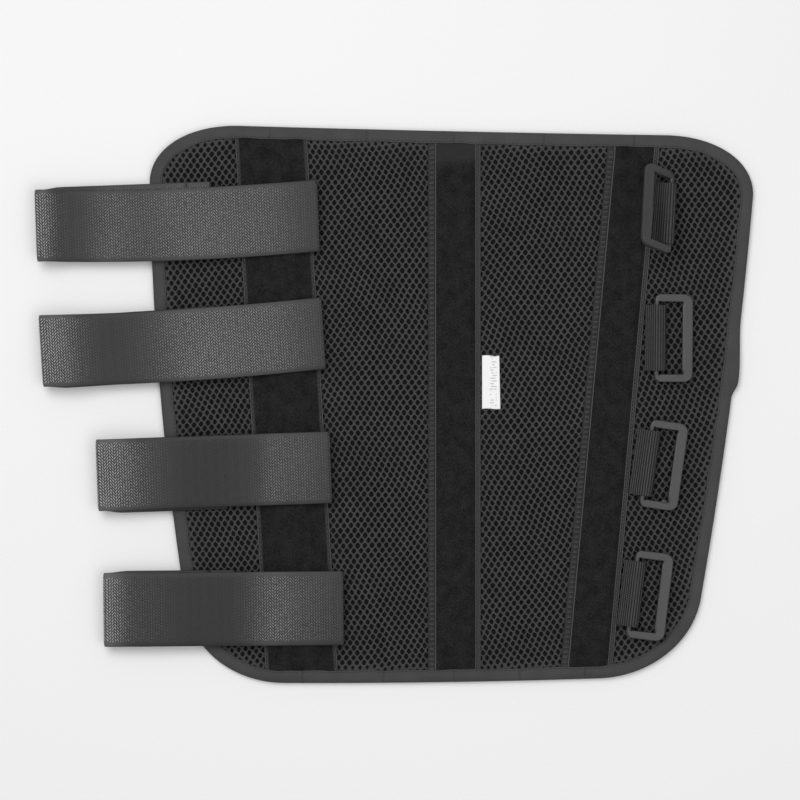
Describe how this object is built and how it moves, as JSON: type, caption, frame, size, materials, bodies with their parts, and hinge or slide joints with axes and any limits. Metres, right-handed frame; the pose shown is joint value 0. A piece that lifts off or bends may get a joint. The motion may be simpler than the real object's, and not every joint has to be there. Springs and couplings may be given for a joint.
{
  "type": "wrap-around stay brace",
  "caption": "Padded wrap-around stay brace with stiffened sleeves, fold-back hook straps and ring buckles, laid out flat.",
  "frame": {"origin": "on the lining's skin face, under the middle of the centre stay", "axes": "+X from the strap side towards the ring side, +Y towards the wide end, +Z out of the outer face"},
  "size_m": [0.4982, 0.3896, 0.0432],
  "materials": {
    "lining": "smooth brushed knit, dark charcoal",
    "core": "soft foam, near black",
    "cover": "perforated spacer mesh, charcoal grey with near-black holes",
    "binding": "woven edge tape, mid-dark grey, slight sheen",
    "pile": "short loop pile, near black",
    "stay": "bare rolled bar",
    "hook": "hook tape, grey, herringbone of fine hooks with small bright tips",
    "webbing": "ribbed elastic webbing, dark grey",
    "ring": "moulded nylon, dark grey, satin",
    "label": "white satin label"
  },
  "bodies": {
    "left_flap": {"lining_left_flap": "lining", "core_left_flap": "core", "cover_left_flap": "cover", "binding_left_flap": "binding", "strap_1_lower": "hook", "strap_2_lower": "hook", "strap_3_lower": "hook", "strap_4_lower": "hook"},
    "left_side": {"lining_left_side": "lining", "core_left_side": "core", "cover_left_side": "cover", "binding_left_side_top": "binding", "binding_left_side_bottom": "binding", "sleeve_left": "pile", "stay_left": "stay"},
    "left_mid": {"lining_left_mid": "lining", "core_left_mid": "core", "cover_left_mid": "cover", "binding_left_mid_top": "binding", "binding_left_mid_bottom": "binding"},
    "centre": {"lining_centre": "lining", "core_centre": "core", "cover_centre": "cover", "binding_centre_top": "binding", "binding_centre_bottom": "binding", "sleeve_centre": "pile", "stay_centre": "stay"},
    "right_mid": {"lining_right_mid": "lining", "core_right_mid": "core", "cover_right_mid": "cover", "binding_right_mid_top": "binding", "binding_right_mid_bottom": "binding"},
    "right_side": {"lining_right_side": "lining", "core_right_side": "core", "cover_right_side": "cover", "binding_right_side_top": "binding", "binding_right_side_bottom": "binding", "sleeve_right": "pile", "stay_right": "stay"},
    "right_flap": {"lining_right_flap": "lining", "core_right_flap": "core", "cover_right_flap": "cover", "binding_right_flap": "binding"},
    "strap_1": {"strap_1_upper": "hook"},
    "strap_2": {"strap_2_upper": "hook"},
    "strap_3": {"strap_3_upper": "hook"},
    "strap_4": {"strap_4_upper": "hook"},
    "tab_1": {"tab_1": "webbing"},
    "tab_2": {"tab_2": "webbing"},
    "tab_3": {"tab_3": "webbing"},
    "tab_4": {"tab_4": "webbing"},
    "ring_1": {"ring_1": "ring"},
    "ring_2": {"ring_2": "ring"},
    "ring_3": {"ring_3": "ring"},
    "ring_4": {"ring_4": "ring"},
    "label": {"label": "label"}
  },
  "joints": [
    {"name": "left_wrap", "type": "hinge", "parent": "centre", "child": "left_mid", "pos_m": [-0.03821, 0, -0.006], "axis": [0.0156, -0.9999, 0], "range_deg": [0, 50]},
    {"name": "left_wrap_side", "type": "hinge", "parent": "left_mid", "child": "left_side", "pos_m": [-0.0722, 0, -0.006], "axis": [0.0421, -0.9991, 0], "range_deg": [0, 50]},
    {"name": "left_wrap_flap", "type": "hinge", "parent": "left_side", "child": "left_flap", "pos_m": [-0.16228, 0, -0.006], "axis": [0.0576, -0.9983, 0], "range_deg": [0, 50]},
    {"name": "right_wrap", "type": "hinge", "parent": "centre", "child": "right_mid", "pos_m": [0.03787, 0, -0.006], "axis": [0.0244, 0.9997, 0], "range_deg": [0, 50]},
    {"name": "right_wrap_side", "type": "hinge", "parent": "right_mid", "child": "right_side", "pos_m": [0.0713, 0, -0.006], "axis": [0.0658, 0.9978, 0], "range_deg": [0, 50]},
    {"name": "right_wrap_flap", "type": "hinge", "parent": "right_side", "child": "right_flap", "pos_m": [0.14716, 0, -0.006], "axis": [0.0899, 0.9959, 0], "range_deg": [0, 50]},
    {"name": "strap_1_fold", "type": "hinge", "parent": "left_flap", "child": "strap_1", "pos_m": [-0.2885, 0.12431, 0.00895], "axis": [0.0366, -0.9993, 0], "range_deg": [0, 180]},
    {"name": "strap_2_fold", "type": "hinge", "parent": "left_flap", "child": "strap_2", "pos_m": [-0.28501, 0.03699, 0.00895], "axis": [0.0645, -0.9979, 0], "range_deg": [0, 180]},
    {"name": "strap_3_fold", "type": "hinge", "parent": "left_flap", "child": "strap_3", "pos_m": [-0.2459, -0.0496, 0.00895], "axis": [0.0349, -0.9994, 0], "range_deg": [0, 180]},
    {"name": "strap_4_fold", "type": "hinge", "parent": "left_flap", "child": "strap_4", "pos_m": [-0.2413, -0.14347, 0.00895], "axis": [0.0087, -1, 0], "range_deg": [0, 180]},
    {"name": "tab_1_flex", "type": "hinge", "parent": "right_side", "child": "tab_1", "pos_m": [0.14116, 0.13318, 0.01572], "axis": [-0.0737, -0.9368, 0.342], "range_deg": [0, 20]},
    {"name": "ring_1_swing", "type": "hinge", "parent": "tab_1", "child": "ring_1", "pos_m": [0.14999, 0.13248, 0.01802], "axis": [0.0737, 0.9368, -0.342], "range_deg": [0, 138]},
    {"name": "tab_2_flex", "type": "hinge", "parent": "right_side", "child": "tab_2", "pos_m": [0.13491, 0.04615, 0.0071], "axis": [-0.0087, -1, 0], "range_deg": [0, 60]},
    {"name": "ring_2_swing", "type": "hinge", "parent": "tab_2", "child": "ring_2", "pos_m": [0.14115, 0.0461, 0.0094], "axis": [-0.0087, -1, 0], "range_deg": [0, 110]},
    {"name": "tab_3_flex", "type": "hinge", "parent": "right_side", "child": "tab_3", "pos_m": [0.12648, -0.04001, 0.0071], "axis": [-0.1392, -0.9903, 0], "range_deg": [0, 60]},
    {"name": "ring_3_swing", "type": "hinge", "parent": "tab_3", "child": "ring_3", "pos_m": [0.13446, -0.04113, 0.0094], "axis": [-0.1392, -0.9903, 0], "range_deg": [0, 110]},
    {"name": "tab_4_flex", "type": "hinge", "parent": "right_side", "child": "tab_4", "pos_m": [0.11778, -0.13149, 0.0071], "axis": [-0.1219, -0.9925, 0], "range_deg": [0, 60]},
    {"name": "ring_4_swing", "type": "hinge", "parent": "tab_4", "child": "ring_4", "pos_m": [0.12463, -0.13233, 0.0094], "axis": [-0.1219, -0.9925, 0], "range_deg": [0, 110]},
    {"name": "label_flip", "type": "hinge", "parent": "centre", "child": "label", "pos_m": [0.01915, 0.0152, 0.0053], "axis": [0, -1, 0], "range_deg": [0, 95]}
  ],
  "couplings": [
    {"joint": "left_wrap_side", "follows": "left_wrap", "ratio": 1},
    {"joint": "left_wrap_flap", "follows": "left_wrap", "ratio": 1},
    {"joint": "right_wrap_side", "follows": "right_wrap", "ratio": 1},
    {"joint": "right_wrap_flap", "follows": "right_wrap", "ratio": 1}
  ]
}
